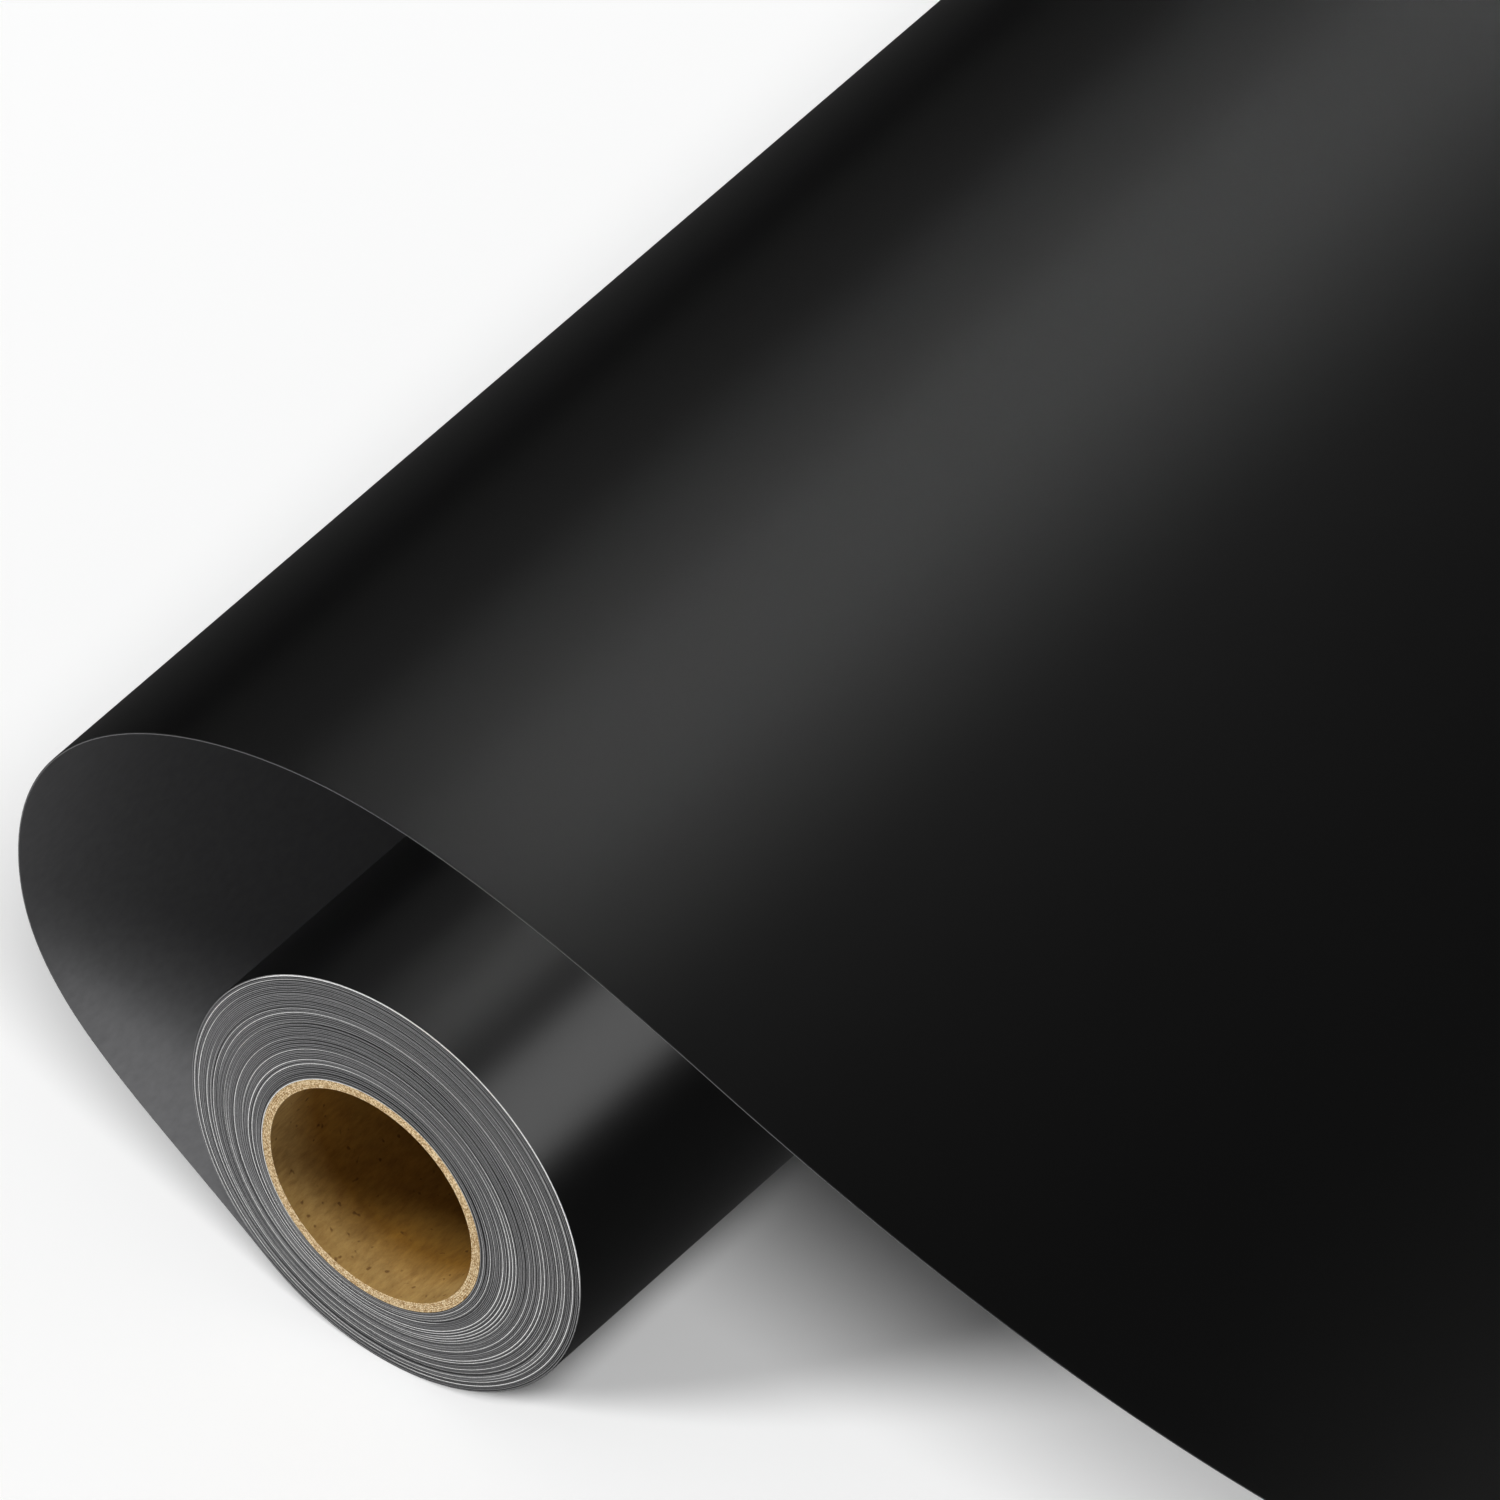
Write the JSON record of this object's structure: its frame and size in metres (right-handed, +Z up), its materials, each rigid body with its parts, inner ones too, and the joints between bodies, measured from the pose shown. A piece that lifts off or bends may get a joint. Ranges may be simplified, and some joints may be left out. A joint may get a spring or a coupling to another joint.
{
  "type": "roll of sign vinyl",
  "caption": "Part-used roll of matt black self-adhesive vinyl on a paperboard core, its web looped back over the roll and run out flat to a cut end.",
  "frame": {"origin": "on the surface the roll lies on, under the middle of the whole object's bounding box", "axes": "+Z up; +Y along the roll's axis, from the near end, where the core stands out, to the far end; +X the way the web runs out to its cut end"},
  "size_m": [0.4746, 0.3082, 0.1121],
  "materials": {
    "kraft_paperboard": "uncoated kraft, cut edge speckled with fibre",
    "double_sided_tape": "translucent, slightly yellow",
    "vinyl_film": "matt calendered vinyl with a fine grain",
    "release_liner": "smooth coated paper, dark grey back, pale cut edge"
  },
  "bodies": {
    "standing_web": {"film_outer_lap_and_loop": "vinyl_film", "liner_outer_lap_and_loop": "release_liner"},
    "wound_roll": {"core_inner_ply": "kraft_paperboard", "core_second_ply": "kraft_paperboard", "core_middle_ply": "kraft_paperboard", "core_fourth_ply": "kraft_paperboard", "core_outer_ply": "kraft_paperboard", "start_tape": "double_sided_tape", "film_wound_laps": "vinyl_film", "liner_wound_laps": "release_liner"},
    "cut_end": {"film_cut_end": "vinyl_film", "liner_cut_end": "release_liner"}
  },
  "joints": [
    {"name": "roll_turn", "type": "hinge", "parent": "standing_web", "child": "wound_roll", "pos_m": [-0.16775, 0, 0.0371], "axis": [0, 1, 0], "range_deg": [0, 360]},
    {"name": "payout", "type": "slide", "parent": "standing_web", "child": "cut_end", "axis": [1, 0, 0], "range_m": [0, 0.2325]}
  ],
  "couplings": [
    {"joint": "payout", "follows": "roll_turn", "m_per_rad": 0.03698}
  ]
}
